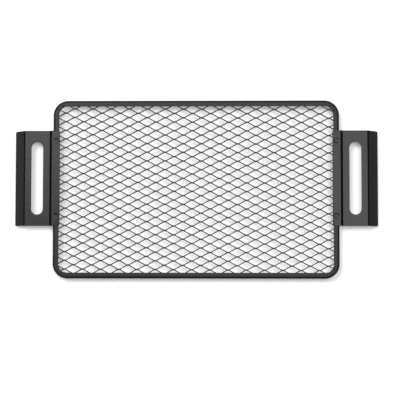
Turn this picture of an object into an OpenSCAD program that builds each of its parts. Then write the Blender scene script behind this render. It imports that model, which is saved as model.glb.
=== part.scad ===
// Motorcycle radiator cover.
// A folded channel rim holds one sheet of expanded metal, and a folded bracket with a long slot
// is spot-welded to each side. It lies on the rear edges of its brackets, with its front up:
// X is the width, Y the height as fitted, and Z points out of the front.

/* [Rim] */
// Width of the rim, outside
rim_w = 252; // [200:1:320]
// Height of the rim, outside
rim_h = 157; // [120:1:220]
// Outer corner radius of the rim
rim_corner_r = 13; // [9:0.5:24]
// Width of the rim's front lip, from the rim's outer edge
lip_w = 5.2; // [4.4:0.1:7]
// Width of the rim's rear lip, from the rim's outer edge
rear_lip_w = 4.6; // [4.2:0.1:7]
// Thickness of the strip that the rim is folded from
rim_sheet = 1.2; // [0.8:0.1:1.4]
// Width of each bending notch at the edge of its lip
notch_w = 1.3; // [0.4:0.1:1.5]
// Angle between the two bending notches of a corner's front lip
notch_angle = 28; // [20:1:40]
// Flat width that a bending notch leaves before the lip starts to round
notch_land = 0.4; // [0.2:0.1:0.8]
// Gap between the ends of the strip, which the closing weld fills
seam_gap = 1.6; // [1:0.1:3]
// Height of the closing weld over the strip
weld_crown = 0.4; // [0.2:0.1:0.8]

/* [Mesh] */
// Thickness of the expanded metal
mesh_t = 1.6; // [1:0.1:2]
// Long pitch of the diamonds, across the cover
mesh_long = 16; // [14:0.5:24]
// Short pitch of the diamonds, up the cover
mesh_short = 7.66; // [7:0.01:12]
// Width of a strand
strand_w = 0.85; // [0.6:0.05:1.4]
// Place of the pattern across the cover, from the rim's centre to a crossing
mesh_shift_x = 4.7; // [-8:0.1:8]
// Place of the pattern up the cover, from the rim's centre to a crossing
mesh_shift_y = 1.95; // [-4:0.05:4]
// Turn of the pattern in the rim, in degrees
mesh_turn = -0.3; // [-2:0.1:2]
// Clearance between the expanded metal and the lips
mesh_fit = 0.1; // [0.05:0.05:0.2]
// Gap between the expanded metal's edge and the rounded bottom of the channel
mesh_end_gap = 0.8; // [0.2:0.1:1.2]

/* [Brackets] */
// Height of each bracket
bracket_h = 84; // [70:1:110]
// Height of the brackets' centre above the rim's centre
bracket_rise = 9.7; // [-15:0.1:15]
// Thickness of the bracket sheet
bracket_sheet = 1.5; // [1:0.1:2]
// Width of the flat front face, which holds the slot
face_w = 21.2; // [17:0.1:30]
// Length of the rear flange's flat part
rear_flange_l = 12.1; // [8:0.1:20]
// Angle that the rear flange is folded back by
rear_flange_angle = 45; // [30:1:60]
// Inside radius of the fold to the rear flange
fold_r = 1; // [0.5:0.1:2]
// How far the bracket's seat reaches in past the rim's lip
seat_overhang = 0.9; // [0:0.1:2]
// How far the bracket's seat reaches out past the rim before it steps down
seat_reach = 0.7; // [0.5:0.1:3]
// Angle of the step between the seat and the front face
step_angle = 50; // [35:1:55]
// Inside radius of the step's two folds
step_r = 0.5; // [0.3:0.1:0.6]
// Corner radius of the bracket's outline
bracket_corner_r = 1.5; // [0.5:0.1:4]
// Length of the slot, end to end
slot_l = 64; // [50:1:68]
// Width of the slot
slot_w = 10.4; // [8:0.1:12]
// How far the slot lies out from the middle of the front face
slot_shift = 0.3; // [-2:0.1:2]
// Distance between the two spot welds of a bracket
spot_pitch = 66; // [40:1:66]
// Radius of a spot weld's dimple
spot_r = 1.9; // [1:0.1:2.4]
// Depth of a spot weld's dimple
spot_depth = 0.3; // [0.1:0.05:0.5]

/* [Hidden] */
$fn = 64;

// Lets a cut run past the faces that it opens
cut_over = 1;

// Share of its radius that a rounded corner's centre lies in from both edges
corner_tangent = 0.98;

// The rim's channel takes the expanded metal and a clearance on both sides of it
channel_gap = mesh_t + 2 * mesh_fit;
rim_depth = channel_gap + 2 * rim_sheet;
nose_r = rim_depth / 2;
lip_flat = lip_w - nose_r;
rear_lip_flat = rear_lip_w - nose_r;
side_run = rim_h - 2 * rim_corner_r;
top_run = rim_w - 2 * rim_corner_r;

panel_inset = nose_r + mesh_end_gap;
panel_w = rim_w - 2 * panel_inset;
panel_h = rim_h - 2 * panel_inset;
panel_corner_r = rim_corner_r - panel_inset;

// A diamond opening keeps half a strand clear of the pattern's lines on every side
strand_angle = atan2(mesh_short, mesh_long);
opening_half_l = mesh_long / 2 - strand_w / 2 / sin(strand_angle);
opening_half_h = mesh_short / 2 - strand_w / 2 / cos(strand_angle);

// An opening that would show less than half of its tip past the lips is left out
reach_x = rim_w / 2 - lip_w + opening_half_l / 2;
reach_y = rim_h / 2 - lip_w + opening_half_h / 2;
pattern_cols = ceil((reach_x + abs(mesh_shift_x)) / mesh_long);
pattern_rows = ceil((reach_y + abs(mesh_shift_y)) / (mesh_short / 2));

// The bracket's section runs outwards from the edge of its seat, with y = 0 on the seat's front.
// Each fold has a centre, and a heading of 0 degrees is flat.
fold_steps = 6;

function normal(heading) = [-sin(heading), cos(heading)];
function run(heading) = [cos(heading), sin(heading)];

seat_l = seat_overhang + lip_w + seat_reach;
seat_x = rim_w / 2 - lip_w - seat_overhang;
step_slope_l = (bracket_sheet - (2 * step_r + bracket_sheet) * (1 - cos(step_angle))) / sin(step_angle);
step_top_centre = [seat_l, -step_r - bracket_sheet];
step_foot_centre = step_top_centre + step_slope_l * run(-step_angle)
    + (2 * step_r + bracket_sheet) * normal(-step_angle);
fold_centre = step_foot_centre + [face_w, -step_r - fold_r - bracket_sheet];
flange_end = fold_centre + (fold_r + bracket_sheet) * normal(-rear_flange_angle)
    + rear_flange_l * run(-rear_flange_angle);
bracket_w = flange_end[0];
slot_from_seat = step_foot_centre[0] + face_w / 2 + slot_shift;

// The front face lies level with the rim's front, and the seat lies on the rim
seat_front_z = bracket_sheet * cos(rear_flange_angle) - flange_end[1];
front_z = seat_front_z - bracket_sheet;
rim_mid_z = front_z - nose_r;

coat = "#3c3d3f";
weld_metal = "#47484a";

// Outlines

module rounded_rect(w, h, r) {
    square([w, h - 2 * r], center = true);
    square([w - 2 * r, h], center = true);
    for (x = [-1, 1], y = [-1, 1])
        translate([x * (w / 2 - r), y * (h / 2 - r)]) circle(r);
}

module obround(l, w) {
    square([w, l - w], center = true);
    for (y = [-1, 1])
        translate([0, y * (l - w) / 2]) circle(w / 2);
}

// The channel's section: x is 0 at the outer edge and runs inwards, y is 0 at mid depth
module channel_outline(grow = 0) {
    translate([nose_r, 0]) circle(nose_r + grow);
    translate([nose_r, 0]) square([lip_flat, nose_r + grow]);
    translate([nose_r, -nose_r - grow]) square([rear_lip_flat, nose_r + grow]);
}

module channel_hollow() {
    translate([nose_r, 0]) circle(channel_gap / 2);
    translate([nose_r, -channel_gap / 2]) square([lip_flat + cut_over, channel_gap]);
}

module channel_section() {
    difference() {
        channel_outline();
        channel_hollow();
    }
}

// Rim

module rim_straight(length) {
    rotate([90, 0, 0])
        linear_extrude(length, center = true) channel_section();
}

module rim_corner() {
    rotate([0, 0, 180])
        rotate_extrude(angle = 90)
            translate([rim_corner_r, 0]) mirror([1, 0]) channel_section();
}

// A V through the lip above mid depth, which opens towards the inside of the corner and ends just
// before the lip starts to round
module bending_notch(flat) {
    tip_r = rim_corner_r - nose_r - notch_land;
    mouth_r = tip_r + notch_land - flat - cut_over;
    mouth_half = notch_w / 2 * (tip_r - mouth_r) / (flat - notch_land);
    linear_extrude(nose_r + cut_over)
        polygon([[-tip_r, 0], [-mouth_r, mouth_half], [-mouth_r, -mouth_half]]);
}

// The front lip has two notches at each corner, and the rear lip has one between them
module corner_notches() {
    for (turn = [-1, 1])
        rotate([0, 0, 45 + turn * notch_angle / 2]) bending_notch(lip_flat);
    rotate([0, 0, 45]) mirror([0, 0, 1]) bending_notch(rear_lip_flat);
}

module rim() {
    color(coat)
    translate([0, 0, rim_mid_z])
    difference() {
        union() {
            for (side = [0, 180])
                rotate([0, 0, side]) translate([-rim_w / 2, 0, 0]) rim_straight(side_run);
            for (side = [90, -90])
                rotate([0, 0, side]) translate([-rim_h / 2, 0, 0]) rim_straight(top_run);
            for (x = [0, 1], y = [0, 1])
                mirror([x, 0, 0]) mirror([0, y, 0])
                    translate([rim_corner_r - rim_w / 2, rim_corner_r - rim_h / 2, 0]) rim_corner();
        }
        for (x = [0, 1], y = [0, 1])
            mirror([x, 0, 0]) mirror([0, y, 0])
                translate([rim_corner_r - rim_w / 2, rim_corner_r - rim_h / 2, 0]) corner_notches();
        translate([-rim_w / 2 + lip_w / 2, bracket_rise, 0])
            cube([lip_w + 2 * cut_over, seam_gap, rim_depth + 2 * cut_over], center = true);
    }
}

// The closing weld joins the strip's ends under the left bracket, and is ground flush in front
module rim_weld() {
    color(weld_metal)
    translate([-rim_w / 2, bracket_rise, rim_mid_z])
    rotate([90, 0, 0])
    linear_extrude(seam_gap, center = true)
    difference() {
        channel_outline(weld_crown);
        channel_hollow();
        translate([-weld_crown - cut_over, nose_r]) square([lip_w + weld_crown + 2 * cut_over, rim_depth]);
        translate([lip_w, -rim_depth]) square([rim_depth, 2 * rim_depth]);
    }
}

// Expanded metal

module diamond() {
    polygon([[opening_half_l, 0], [0, opening_half_h], [-opening_half_l, 0], [0, -opening_half_h]]);
}

// Every second row of openings is moved along by half a diamond
module diamond_pattern() {
    for (row = [-pattern_rows:pattern_rows], col = [-pattern_cols:pattern_cols]) {
        x = (col + (row % 2 == 0 ? 0.5 : 0)) * mesh_long;
        y = row * mesh_short / 2;
        place_x = mesh_shift_x + x * cos(mesh_turn) - y * sin(mesh_turn);
        place_y = mesh_shift_y + x * sin(mesh_turn) + y * cos(mesh_turn);
        if (abs(place_x) < reach_x && abs(place_y) < reach_y)
            translate([place_x, place_y]) rotate(mesh_turn) diamond();
    }
}

module mesh_panel() {
    color(coat)
    translate([0, 0, rim_mid_z])
    linear_extrude(mesh_t, center = true)
    difference() {
        rounded_rect(panel_w, panel_h, panel_corner_r);
        diamond_pattern();
    }
}

// Brackets

// Points along a fold, at a radius from its centre, as the sheet's heading turns
function fold_arc(centre, radius, from, to) =
    [for (i = [0:fold_steps]) centre + radius * normal(from + (to - from) * i / fold_steps)];

// The folded sheet, drawn outwards from the edge of the seat: along its front, and back along its rear
module bracket_section() {
    polygon(concat(
        [[0, 0]],
        fold_arc(step_top_centre, step_r + bracket_sheet, 0, -step_angle),
        fold_arc(step_foot_centre, -step_r, -step_angle, 0),
        fold_arc(fold_centre, fold_r + bracket_sheet, 0, -rear_flange_angle),
        [flange_end, flange_end - bracket_sheet * normal(-rear_flange_angle)],
        fold_arc(fold_centre, fold_r, -rear_flange_angle, 0),
        fold_arc(step_foot_centre, -step_r - bracket_sheet, 0, -step_angle),
        fold_arc(step_top_centre, step_r, -step_angle, 0),
        [[0, -bracket_sheet]]
    ));
}

// Takes a bracket's outer corner off in plan, with an arc that meets both edges at a slight angle
module corner_cut() {
    back = bracket_corner_r * corner_tangent;
    difference() {
        translate([-back, -back]) square(back + cut_over);
        translate([-back, -back]) circle(bracket_corner_r);
    }
}

module bracket() {
    color(coat)
    translate([seat_x, bracket_rise, 0])
    difference() {
        translate([0, 0, seat_front_z])
            rotate([90, 0, 0]) linear_extrude(bracket_h, center = true) bracket_section();
        translate([slot_from_seat, 0, front_z - bracket_sheet - cut_over])
            linear_extrude(bracket_sheet + 2 * cut_over) obround(slot_l, slot_w);
        for (top = [0, 1]) mirror([0, top, 0]) translate([0, bracket_h / 2, -cut_over])
            linear_extrude(seat_front_z + 2 * cut_over) {
                translate([bracket_w, 0]) corner_cut();
                mirror([1, 0]) corner_cut();
            }
        for (y = [-1, 1])
            translate([seat_l / 2, y * spot_pitch / 2, seat_front_z - spot_depth])
                cylinder(h = 2 * spot_depth, r1 = spot_r - spot_depth, r2 = spot_r + spot_depth);
    }
}

module left_bracket() {
    mirror([1, 0, 0]) bracket();
}

module right_bracket() {
    bracket();
}

rim();
rim_weld();
mesh_panel();
left_bracket();
right_bracket();
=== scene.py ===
"""Motorcycle radiator cover, lying on its back under soft studio light and seen from above.

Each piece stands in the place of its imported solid, with the rounded sheet edges that the real
one has. Everything is in metres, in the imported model's frame.
"""

from math import ceil, cos, pi, radians, sin, sqrt, tan

import bmesh
import bpy
from mathutils import Matrix, Vector
from mathutils.geometry import delaunay_2d_cdt


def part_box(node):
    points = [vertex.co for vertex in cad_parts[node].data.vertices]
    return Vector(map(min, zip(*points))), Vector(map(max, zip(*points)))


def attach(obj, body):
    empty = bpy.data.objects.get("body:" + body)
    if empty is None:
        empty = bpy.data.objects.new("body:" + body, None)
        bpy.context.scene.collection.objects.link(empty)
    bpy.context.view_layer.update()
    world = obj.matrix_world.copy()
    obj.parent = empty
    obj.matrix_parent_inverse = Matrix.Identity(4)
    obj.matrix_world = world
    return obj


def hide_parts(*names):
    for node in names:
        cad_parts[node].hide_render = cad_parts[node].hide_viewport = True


MM = 0.001

# Expanded metal: the pattern's pitches, its place from the rim's centre and its turn
LONG_PITCH = 16 * MM
SHORT_PITCH = 7.66 * MM
PATTERN_PLACE = Vector((4.7 * MM, 1.95 * MM))
PATTERN_TURN = radians(-0.3)

# An opening is a hexagon: flat where it borders the bonds above and below it
BOND_HALF_LENGTH = 0.9 * MM
BOND_HALF_HEIGHT = 0.69 * MM
OPENING_HALF_LENGTH = 6.52 * MM
OPENING_HALF_HEIGHT = SHORT_PITCH / 2 - BOND_HALF_HEIGHT
OPENING_CORNER = 0.3 * MM
STRAND_ROUNDING = 0.22 * MM

# The mesh sheet's edge, hidden in the channel: its corner, and the border that no opening cuts
MESH_CORNER = 10.1 * MM
MESH_BORDER = 0.6 * MM
SMALLEST_OPENING = 0.8 * MM * MM
SHORTEST_EDGE = 0.02 * MM

# Rim: the channel that its strip is folded to, and its corners
RIM_SHEET = 1.2 * MM
CHANNEL_HALF_GAP = 0.9 * MM
CHANNEL_HALF_DEPTH = CHANNEL_HALF_GAP + RIM_SHEET
FRONT_LIP = 5.2 * MM
REAR_LIP = 4.6 * MM
LIP_ROUNDING = 0.25 * MM
RIM_CORNER = 13 * MM

# Bending notches: how much of the lip each leaves, and in degrees through a corner, where they
# lie and half the width of each
NOTCHED_LIP = CHANNEL_HALF_DEPTH + 0.4 * MM
FRONT_NOTCHES = (31, 59)
REAR_NOTCHES = (45,)
NOTCH_HALF_TURN = 4.6

# Closing weld: a bead that is flat across the seam at a roundness of 0, and comes down to the
# strip at 1
SEAM_PLACE = 9.7 * MM
SEAM_HALF_GAP = 0.8 * MM
WELD_CROWN = 0.4 * MM
WELD_ROUNDNESS = 0.9

# Brackets: one folded sheet each, with its slot and spot welds. Of its stretches, counted from 0
# at the seat, one is the front face.
BRACKET_HEIGHT = 84 * MM
BRACKET_SHEET = 1.5 * MM
BRACKET_CORNER = 1.5 * MM
SHEET_ROUNDING = 0.2 * MM
SEAT_LENGTH = 6.8 * MM
STEP_RADIUS = 0.5 * MM
STEP_ANGLE = radians(50)
FACE_WIDTH = 21.2 * MM
FACE_STRETCH = 4
FOLD_RADIUS = 1 * MM
FLANGE_ANGLE = radians(45)
FLANGE_LENGTH = 12.1 * MM
SLOT_LENGTH = 64 * MM
SLOT_WIDTH = 10.4 * MM
SLOT_SHIFT = 0.3 * MM
SPOT_PITCH = 66 * MM
SPOT_RADIUS = 2.6 * MM
# How far in and how deep each ring of a spot weld's dimple lies
SPOT_RINGS = ((0.2 * MM, 0.03 * MM), (0.7 * MM, 0.14 * MM), (1.2 * MM, 0.18 * MM))

# Fineness of the round stretches
ROUNDING_STEPS = 2
CORNER_STEP = radians(45)
MESH_CORNER_STEP = radians(9)
BRACKET_CORNER_STEP = radians(15)
NOSE_STEPS = 16
CORNER_STATIONS = 18
BEND_STEPS = 6
SLOT_END_STEPS = 32
SPOT_STEPS = 24
WELD_STEPS = 6
# The even steps through a corner keep this many degrees off the edges and tips of its notches
NOTCH_CLEARANCE = 2

# A corner that turns by less stays as it is, and another takes at most a share of its edges
LEAST_TURN = radians(1)
CORNER_SHARE = 0.45
# From this angle between two faces, their edge looks sharp
SHARP_ANGLE = radians(50)
# Filling a flat face: what is kept, and how close two points are that count as one
INSIDE_ONLY = 1
SAME_POINT = 1e-9

# Camera: the point that it looks at, its distance, and its turns away from straight above
AIM = Vector((3.625 * MM, -9.415 * MM, 8.249 * MM))
CAMERA_DISTANCE = 1.0997
CAMERA_YAW = radians(1.305)
CAMERA_TILT = radians(3.266)
CAMERA_ROLL = radians(0.065)
CAMERA_LENS = 112.5

# Powder coats: dark and light grey, specular level, roughness, and height of the orange peel
COATS = {
    "rim coat": (0.006, 0.01, 0.2, 0.45, 0.012 * MM),
    "weld coat": (0.008, 0.014, 0.2, 0.45, 0.04 * MM),
    "mesh coat": (0.006, 0.01, 0.2, 0.38, 0.01 * MM),
    "bracket coat": (0.003, 0.005, 0.13, 0.28, 0.014 * MM),
}
# A coat's noises, each with its features per metre and detail, how far its roughness varies,
# and how much more blue than red it is
CLOUDS = (45, 3)
PEEL = (900, 2)
SPECKLE = (3200, 1)
GLOSS_SPREAD = 0.06
BLUE_TINT = 1.04

# Studio: each lamp's place, width and height, and how bright a lamp looks, where 1 is white
LAMPS = {
    "upper left softbox": (Vector((-0.45, 0.45, 1.8)), 0.8, 0.65),
    "right softbox": (Vector((0.35, 0.1, 1.9)), 0.65, 0.55),
}
LAMP_AIM = Vector((0, 0, 0))
LAMP_BRIGHTNESS = 14
WORLD_GREY = 0.1
FLOOR_SIZE = 6.0
# How far the floor lies below the brackets' rear edges, which softens the shadow
FLOOR_DROP = 3 * MM
FLOOR_WHITE = 0.85
# What the floor shows above its paint
FLOOR_GLOW = 0.27


# Materials


def noise(tree, place, scale, detail):
    """A noise texture on a place, with its scale in features per metre."""
    node = tree.nodes.new("ShaderNodeTexNoise")
    node.inputs["Scale"].default_value = scale
    node.inputs["Detail"].default_value = detail
    tree.links.new(place, node.inputs["Vector"])
    return node.outputs["Fac"]


def spread(tree, factor, low, high):
    """Maps a factor from 0 to 1 onto low to high."""
    node = tree.nodes.new("ShaderNodeMapRange")
    node.inputs["To Min"].default_value = low
    node.inputs["To Max"].default_value = high
    tree.links.new(factor, node.inputs["Value"])
    return node.outputs["Result"]


def blend_greys(tree, factor, dark, light):
    """Mixes two faintly blue greys by a factor."""
    node = tree.nodes.new("ShaderNodeMix")
    node.data_type = "RGBA"
    colours = [socket for socket in node.inputs if socket.type == "RGBA"]
    for socket, grey in zip(colours, (dark, light)):
        socket.default_value = (grey, grey, BLUE_TINT * grey, 1)
    tree.links.new(factor, node.inputs["Factor"])
    return next(socket for socket in node.outputs if socket.type == "RGBA")


def powder_coat(name, dark, light, specular, roughness, peel_height):
    """Satin black powder coat: a fine orange peel over faint clouds in tone and gloss."""
    material = bpy.data.materials.new(name)
    material.use_nodes = True
    tree = material.node_tree
    shader = tree.nodes["Principled BSDF"]
    shader.inputs["Specular IOR Level"].default_value = specular
    place = tree.nodes.new("ShaderNodeTexCoord").outputs["Object"]
    clouds = noise(tree, place, *CLOUDS)
    peel = noise(tree, place, *PEEL)
    speckle = noise(tree, place, *SPECKLE)
    tree.links.new(blend_greys(tree, clouds, dark, light), shader.inputs["Base Color"])
    gloss = spread(tree, speckle, roughness - GLOSS_SPREAD, roughness + GLOSS_SPREAD)
    tree.links.new(gloss, shader.inputs["Roughness"])
    bump = tree.nodes.new("ShaderNodeBump")
    bump.inputs["Strength"].default_value = 1
    bump.inputs["Distance"].default_value = peel_height
    tree.links.new(peel, bump.inputs["Height"])
    tree.links.new(bump.outputs["Normal"], shader.inputs["Normal"])
    return material


def floor_material():
    """White paint that keeps the shadow, a little brighter to the camera and in reflections."""
    material = bpy.data.materials.new("white floor")
    material.use_nodes = True
    tree = material.node_tree
    tree.nodes.clear()
    output = tree.nodes.new("ShaderNodeOutputMaterial")
    paint = tree.nodes.new("ShaderNodeBsdfDiffuse")
    paint.inputs["Color"].default_value = (FLOOR_WHITE, FLOOR_WHITE, FLOOR_WHITE, 1)
    glow = tree.nodes.new("ShaderNodeEmission")
    path = tree.nodes.new("ShaderNodeLightPath")
    seen = path.outputs["Is Camera Ray"]
    for ray in ("Is Glossy Ray", "Is Transmission Ray"):
        either = tree.nodes.new("ShaderNodeMath")
        either.operation = "MAXIMUM"
        tree.links.new(seen, either.inputs[0])
        tree.links.new(path.outputs[ray], either.inputs[1])
        seen = either.outputs["Value"]
    tree.links.new(spread(tree, seen, 0, FLOOR_GLOW), glow.inputs["Strength"])
    both = tree.nodes.new("ShaderNodeAddShader")
    tree.links.new(paint.outputs["BSDF"], both.inputs[0])
    tree.links.new(glow.outputs["Emission"], both.inputs[1])
    tree.links.new(both.outputs["Shader"], output.inputs["Surface"])
    return material


# Forms. A loop of points is a list of (centre, radius, direction), in which each point lies at
# its radius from its centre, so that a wider or narrower loop only adds to the radius.


def add_object(name, mesh, material):
    piece = bpy.data.objects.new(name, mesh)
    bpy.context.scene.collection.objects.link(piece)
    mesh.materials.append(material)
    return piece


def finished_piece(name, form, material):
    """An object of the closed form, shaded smooth up to sharp edges, with its flat faces flat."""
    bmesh.ops.recalc_face_normals(form, faces=form.faces)
    bmesh.ops.triangulate(form, faces=form.faces)
    for face in form.faces:
        face.smooth = True
    mesh = bpy.data.meshes.new(name)
    form.to_mesh(mesh)
    form.free()
    mesh.set_sharp_from_angle(angle=SHARP_ANGLE)
    piece = add_object(name, mesh, material)
    piece.modifiers.new("flat faces stay flat", "WEIGHTED_NORMAL").keep_sharp = True
    return piece


def widened(loop, distance):
    return [centre + direction * (radius + distance) for centre, radius, direction in loop]


def rounded_corners(polygon, radius, corner_step=CORNER_STEP):
    """The loop round a convex polygon, anticlockwise, with its corners rounded."""
    loop = []
    for i, corner in enumerate(polygon):
        before, after = polygon[i - 1] - corner, polygon[(i + 1) % len(polygon)] - corner
        turn = pi - before.angle(after)
        out = Vector((-before.y, before.x)).normalized()
        if turn < LEAST_TURN:
            loop.append((corner, 0, out))
            continue
        own = min(radius, CORNER_SHARE * min(before.length, after.length) / tan(turn / 2))
        inwards = (before.normalized() + after.normalized()).normalized()
        centre = corner + inwards * own / cos(turn / 2)
        steps = ceil(turn / corner_step)
        for step in range(steps + 1):
            loop.append((centre, own, Matrix.Rotation(turn * step / steps, 2) @ out))
    return loop


def rectangle(half_width, half_height):
    signs = ((1, -1), (1, 1), (-1, 1), (-1, -1))
    return [Vector((x * half_width, y * half_height)) for x, y in signs]


def bridge(form, rings):
    """Bands of faces that join each ring to the next."""
    for upper, lower in zip(rings, rings[1:]):
        for i in range(len(upper)):
            form.faces.new((upper[i - 1], upper[i], lower[i], lower[i - 1]))


def ring_at(form, points, z):
    return [form.verts.new((p.x, p.y, z)) for p in points]


def fill_flat(form, loops, lines, z):
    """Faces at one height inside the first loop and outside the others, split along the lines."""
    points = [p for loop in loops for p in loop]
    members, first = [], 0
    for loop in loops:
        members.append(list(range(first, first + len(loop))))
        first += len(loop)
    found, _, triangles, sources, _, owners = delaunay_2d_cdt(
        points, lines, members, INSIDE_ONLY, SAME_POINT)
    vertices = ring_at(form, found, z)
    place = {original: vertices[i] for i, source in enumerate(sources) for original in source}
    for triangle, owner in zip(triangles, owners):
        if owner == [0]:
            form.faces.new([vertices[i] for i in triangle])
    return [[place[i] for i in member] for member in members]


def flat_sheet(outline, openings, low, high, rounding, lines=(), dimples=()):
    """A sheet with rounded edges, from the loops of its outline, openings and front dimples."""
    form = bmesh.new()
    walls = [(outline, -rounding)] + [(loop, rounding) for loop in openings]
    edges = [widened(loop, inset) for loop, inset in walls]
    front = fill_flat(form, edges + [widened(loop, 0) for loop in dimples], lines, high)
    back = fill_flat(form, edges, lines, low)
    turns = [pi / 2 * step / ROUNDING_STEPS for step in range(1, ROUNDING_STEPS + 1)]
    for (loop, inset), front_ring, back_ring in zip(walls, front, back):
        rings = [front_ring]
        for edge, side, order in ((high, -1, turns), (low, 1, turns[::-1])):
            for turn in order:
                points = widened(loop, inset * (1 - sin(turn)))
                rings.append(ring_at(form, points, edge + side * rounding * (1 - cos(turn))))
        bridge(form, rings + [back_ring])
    for loop, ring in zip(dimples, front[len(walls):]):
        sides = [ring_at(form, widened(loop, -inset), high - depth) for inset, depth in SPOT_RINGS]
        bridge(form, [ring] + sides)
        form.faces.new(sides[-1])
    return form


def swept(stations, z):
    """A closed form through the sections that stand at the stations, flat at both ends."""
    form = bmesh.new()
    rings = []
    for place, inwards, section in stations:
        points = [(*(place + inwards * x), z + height) for x, height in section]
        rings.append([form.verts.new(point) for point in points])
    bridge(form, rings)
    form.faces.new(rings[0])
    form.faces.new(rings[-1])
    return form


# Expanded metal


def opening_shape():
    """The six corners of an opening about its centre, anticlockwise."""
    return [
        Vector((OPENING_HALF_LENGTH, 0)),
        Vector((BOND_HALF_LENGTH, OPENING_HALF_HEIGHT)),
        Vector((-BOND_HALF_LENGTH, OPENING_HALF_HEIGHT)),
        Vector((-OPENING_HALF_LENGTH, 0)),
        Vector((-BOND_HALF_LENGTH, -OPENING_HALF_HEIGHT)),
        Vector((BOND_HALF_LENGTH, -OPENING_HALF_HEIGHT)),
    ]


def clipped(polygon, border):
    """The part of a convex polygon that lies inside a convex border, both anticlockwise."""
    for start, end in zip(border, border[1:] + border[:1]):
        side = end - start
        depths = [side.x * (p.y - start.y) - side.y * (p.x - start.x) for p in polygon]
        kept = []
        for i, point in enumerate(polygon):
            last, last_depth = polygon[i - 1], depths[i - 1]
            if (depths[i] >= 0) != (last_depth >= 0):
                kept.append(last + (point - last) * (last_depth / (last_depth - depths[i])))
            if depths[i] >= 0:
                kept.append(point)
        polygon = kept
    return polygon


def without_doubles(polygon):
    return [p for i, p in enumerate(polygon) if (p - polygon[i - 1]).length > SHORTEST_EDGE]


def area_of(polygon):
    return sum(a.cross(b) for a, b in zip(polygon, polygon[1:] + polygon[:1])) / 2


def opening_loops(border):
    """The loop of every opening of the pattern, as far as it lies inside the border."""
    columns = ceil(max(p.x for p in border) / LONG_PITCH) + 1
    rows = ceil(2 * max(p.y for p in border) / SHORT_PITCH) + 1
    turned = Matrix.Rotation(PATTERN_TURN, 2)
    loops = []
    for row in range(-rows, rows + 1):
        for column in range(-columns, columns + 1):
            shift = 0.5 if row % 2 == 0 else 0
            centre = Vector(((column + shift) * LONG_PITCH, row * SHORT_PITCH / 2))
            corners = [PATTERN_PLACE + turned @ (centre + corner) for corner in opening_shape()]
            opening = without_doubles(clipped(corners, border))
            if len(opening) > 2 and area_of(opening) > SMALLEST_OPENING:
                loops.append(rounded_corners(opening, OPENING_CORNER))
    return loops


def expanded_metal(material):
    """One sheet with rounded strands, whose edge lies hidden in the rim's channel."""
    low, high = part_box("mesh_panel")
    outline = rounded_corners(rectangle(high.x, high.y), MESH_CORNER, MESH_CORNER_STEP)
    inner = rectangle(high.x - MESH_BORDER, high.y - MESH_BORDER)
    border = widened(rounded_corners(inner, MESH_CORNER - MESH_BORDER, MESH_CORNER_STEP), 0)
    form = flat_sheet(outline, opening_loops(border), low.z, high.z, STRAND_ROUNDING)
    return finished_piece("expanded_metal", form, material)


# Rim


def lip_end(lip, half_depth):
    """Points round the end of a lip: distance in from the rim's outer edge, and height."""
    edge = lip - LIP_ROUNDING
    turns = [pi / 2 * step / ROUNDING_STEPS for step in range(ROUNDING_STEPS + 1)]
    lower, upper = CHANNEL_HALF_GAP + LIP_ROUNDING, half_depth - LIP_ROUNDING
    points = [(edge + LIP_ROUNDING * cos(a), lower - LIP_ROUNDING * sin(a)) for a in turns[::-1]]
    return points + [(edge + LIP_ROUNDING * cos(a), upper + LIP_ROUNDING * sin(a)) for a in turns]


def channel_section(front_lip, rear_lip, crown=0):
    """Points round the channel's section, thicker by the crown outside and behind."""
    nose = CHANNEL_HALF_DEPTH
    outer = CHANNEL_HALF_DEPTH + crown
    turns = [pi / 2 + pi * step / NOSE_STEPS for step in range(NOSE_STEPS + 1)]
    outside = [(nose + outer * cos(a), min(outer * sin(a), CHANNEL_HALF_DEPTH)) for a in turns]
    inside = [(nose + CHANNEL_HALF_GAP * cos(a), CHANNEL_HALF_GAP * sin(a)) for a in turns[::-1]]
    rear_end = [(x, -height) for x, height in lip_end(rear_lip, outer)[::-1]]
    return lip_end(front_lip, CHANNEL_HALF_DEPTH) + outside + rear_end + inside


def notched(lip, turn, notches):
    """The length of a lip at a turn through its corner, which each V-shaped notch shortens."""
    share = max(1 - abs(turn - notch) / NOTCH_HALF_TURN for notch in notches)
    return lip - max(share, 0) * (lip - NOTCHED_LIP)


def corner_turns():
    """Degrees through a corner from 0 to 90: even steps, and the edges and tip of every notch."""
    sides = (-NOTCH_HALF_TURN, 0, NOTCH_HALF_TURN)
    marks = [notch + side for notch in FRONT_NOTCHES + REAR_NOTCHES for side in sides]
    steps = [90 * step / CORNER_STATIONS for step in range(CORNER_STATIONS + 1)]
    clear = [turn for turn in steps if all(abs(turn - mark) > NOTCH_CLEARANCE for mark in marks)]
    return sorted(marks + clear)


def rim_stations():
    """The strip's section along the rim, from the seam's upper end round to its lower end."""
    half_width, half_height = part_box("rim")[1].xy
    full_section = channel_section(FRONT_LIP, REAR_LIP)
    upper_end = Vector((-half_width, SEAM_PLACE + SEAM_HALF_GAP))
    lower_end = Vector((-half_width, SEAM_PLACE - SEAM_HALF_GAP))
    inwards = Vector((1, 0))
    stations = [(upper_end, inwards, full_section)]
    for corner, (x, y) in enumerate(((-1, 1), (1, 1), (1, -1), (-1, -1))):
        centre = Vector((x * (half_width - RIM_CORNER), y * (half_height - RIM_CORNER)))
        for turn in corner_turns():
            angle = radians(180 - 90 * corner - turn)
            out = Vector((cos(angle), sin(angle)))
            front_lip = notched(FRONT_LIP, turn, FRONT_NOTCHES)
            rear_lip = notched(REAR_LIP, turn, REAR_NOTCHES)
            section = channel_section(front_lip, rear_lip)
            stations.append((centre + RIM_CORNER * out, -out, section))
    return stations + [(lower_end, inwards, full_section)]


def rim(material):
    low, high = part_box("rim")
    return finished_piece("channel_rim", swept(rim_stations(), (low.z + high.z) / 2), material)


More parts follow.
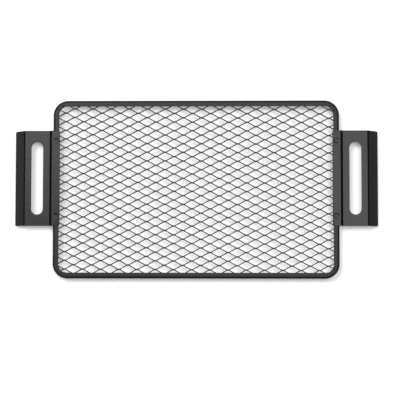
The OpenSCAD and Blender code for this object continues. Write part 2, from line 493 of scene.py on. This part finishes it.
def rim_weld(material):
    """A low bead across the seam, ground flush in front."""
    low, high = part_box("rim")
    stations = []
    for step in range(WELD_STEPS + 1):
        across = 2 * step / WELD_STEPS - 1
        crown = WELD_CROWN * sqrt(1 - WELD_ROUNDNESS * across * across)
        place = Vector((-high.x, SEAM_PLACE - across * SEAM_HALF_GAP))
        stations.append((place, Vector((1, 0)), channel_section(FRONT_LIP, REAR_LIP, crown)))
    return finished_piece("seam_weld", swept(stations, (low.z + high.z) / 2), material)


# Brackets


def bracket_bends():
    """Each stretch of the sheet from its seat outwards: length at mid thickness, and turn."""
    half = BRACKET_SHEET / 2
    drop = BRACKET_SHEET - (2 * STEP_RADIUS + BRACKET_SHEET) * (1 - cos(STEP_ANGLE))
    return [
        (SEAT_LENGTH, 0),
        ((STEP_RADIUS + half) * STEP_ANGLE, -STEP_ANGLE),
        (drop / sin(STEP_ANGLE), 0),
        ((STEP_RADIUS + half) * STEP_ANGLE, STEP_ANGLE),
        (FACE_WIDTH, 0),
        ((FOLD_RADIUS + half) * FLANGE_ANGLE, -FLANGE_ANGLE),
        (FLANGE_LENGTH, 0),
    ]


def folded(along, bends):
    """Place and heading at a distance along the folded sheet, from the edge of its seat."""
    place, heading = Vector((0, 0)), 0
    for length, turn in bends:
        here = min(along, length)
        if turn:
            radius = length / turn
            swung = heading + here / radius
            arc = Vector((sin(swung) - sin(heading), cos(heading) - cos(swung)))
            place += radius * arc
            heading = swung
        else:
            place += here * Vector((cos(heading), sin(heading)))
        along -= here
    return place, heading


def slot_loop(middle):
    loop = []
    for end in (1, -1):
        centre = middle + Vector((0, end * (SLOT_LENGTH - SLOT_WIDTH) / 2))
        for step in range(SLOT_END_STEPS + 1):
            angle = pi * step / SLOT_END_STEPS
            loop.append((centre, SLOT_WIDTH / 2, Vector((end * cos(angle), end * sin(angle)))))
    return loop


def circle_loop(centre, radius):
    turns = [2 * pi * step / SPOT_STEPS for step in range(SPOT_STEPS)]
    return [(centre, radius, Vector((cos(turn), sin(turn)))) for turn in turns]


def bracket(node, side, material):
    """A slotted blank with rounded edges, folded along its bends and laid on the rim."""
    bends = bracket_bends()
    starts = [sum(length for length, _ in bends[:i]) for i in range(len(bends) + 1)]
    folds = [
        starts[i] + length * step / BEND_STEPS
        for i, (length, turn) in enumerate(bends) if turn
        for step in range(BEND_STEPS + 1)
    ]
    half_height = BRACKET_HEIGHT / 2
    lower = [Vector((along, -half_height)) for along in [0] + folds + starts[-1:]]
    upper = [Vector((point.x, half_height)) for point in lower[::-1]]
    outline = rounded_corners(lower + upper, BRACKET_CORNER, BRACKET_CORNER_STEP)
    # An edge runs across the sheet at each step of a fold
    lines = []
    for fold in folds:
        ends = [i for i, (place, radius, _) in enumerate(outline)
                if not radius and abs(place.x - fold) < SHORTEST_EDGE]
        lines.append(tuple(ends))
    slot = slot_loop(Vector((starts[FACE_STRETCH] + FACE_WIDTH / 2 + SLOT_SHIFT, 0)))
    spot_places = [Vector((SEAT_LENGTH / 2, y * SPOT_PITCH / 2)) for y in (1, -1)]
    spots = [circle_loop(place, SPOT_RADIUS) for place in spot_places]
    half = BRACKET_SHEET / 2
    form = flat_sheet(outline, [slot], -half, half, SHEET_ROUNDING, lines, spots)
    low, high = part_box(node)
    seat_x = low.x if side > 0 else -high.x
    for vertex in form.verts:
        place, heading = folded(vertex.co.x, bends)
        x = seat_x + place.x - vertex.co.z * sin(heading)
        z = high.z - half + place.y + vertex.co.z * cos(heading)
        vertex.co = (side * x, vertex.co.y + (low.y + high.y) / 2, z)
    return finished_piece(node + "_sheet", form, material)


# Studio


def make_floor():
    form = bmesh.new()
    bmesh.ops.create_grid(form, x_segments=1, y_segments=1, size=FLOOR_SIZE / 2)
    mesh = bpy.data.meshes.new("floor")
    form.to_mesh(mesh)
    form.free()
    floor = add_object("floor", mesh, floor_material())
    floor.location.z = -FLOOR_DROP


def make_lamp(name, place, width, height):
    lamp = bpy.data.lights.new(name, "AREA")
    lamp.shape = "RECTANGLE"
    lamp.size = width
    lamp.size_y = height
    lamp.energy = LAMP_BRIGHTNESS * width * height * pi
    holder = bpy.data.objects.new(name, lamp)
    bpy.context.scene.collection.objects.link(holder)
    holder.location = place
    holder.rotation_mode = "QUATERNION"
    holder.rotation_quaternion = (LAMP_AIM - place).to_track_quat("-Z", "Y")


def make_light():
    """Two soft lamps overhead, the larger one towards the object's upper left, and a dim room."""
    for name, (place, width, height) in LAMPS.items():
        make_lamp(name, place, width, height)
    world = bpy.data.worlds.new("studio")
    bpy.context.scene.world = world
    world.use_nodes = True
    background = world.node_tree.nodes["Background"]
    background.inputs["Color"].default_value = (WORLD_GREY, WORLD_GREY, WORLD_GREY, 1)


def make_camera():
    camera = bpy.data.cameras.new("camera")
    camera.lens = CAMERA_LENS
    holder = bpy.data.objects.new("camera", camera)
    bpy.context.scene.collection.objects.link(holder)
    up_tilt = cos(CAMERA_YAW)
    back = Vector((sin(CAMERA_YAW), -sin(CAMERA_TILT) * up_tilt, cos(CAMERA_TILT) * up_tilt))
    right = Vector((0, 1, 0)).cross(back).normalized()
    axes = Matrix((right, back.cross(right), back)).transposed()
    turned = axes @ Matrix.Rotation(CAMERA_ROLL, 3, "Z")
    holder.matrix_world = Matrix.Translation(AIM + CAMERA_DISTANCE * back) @ turned.to_4x4()
    bpy.context.scene.camera = holder


def dress(frame):
    """Puts each finished piece in the place of its solid, which takes the same coat."""
    coats = {name: powder_coat(name, *values) for name, values in COATS.items()}
    pieces = {
        "rim": rim(coats["rim coat"]),
        "rim_weld": rim_weld(coats["weld coat"]),
        "mesh_panel": expanded_metal(coats["mesh coat"]),
        "left_bracket": bracket("left_bracket", -1, coats["bracket coat"]),
        "right_bracket": bracket("right_bracket", 1, coats["bracket coat"]),
    }
    for node, piece in pieces.items():
        frame["nodes"][node].data.materials[0] = piece.data.materials[0]
        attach(piece, "root")
        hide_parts(node)


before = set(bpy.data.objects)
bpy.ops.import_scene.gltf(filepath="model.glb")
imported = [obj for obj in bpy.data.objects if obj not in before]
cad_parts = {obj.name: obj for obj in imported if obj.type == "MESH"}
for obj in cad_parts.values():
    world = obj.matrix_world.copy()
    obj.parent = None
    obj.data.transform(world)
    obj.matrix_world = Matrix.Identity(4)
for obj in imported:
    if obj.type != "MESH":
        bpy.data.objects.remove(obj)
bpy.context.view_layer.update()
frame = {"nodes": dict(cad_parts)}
bpy.context.scene.view_settings.view_transform = "Standard"
dress(frame)
make_floor()
make_light()
make_camera()
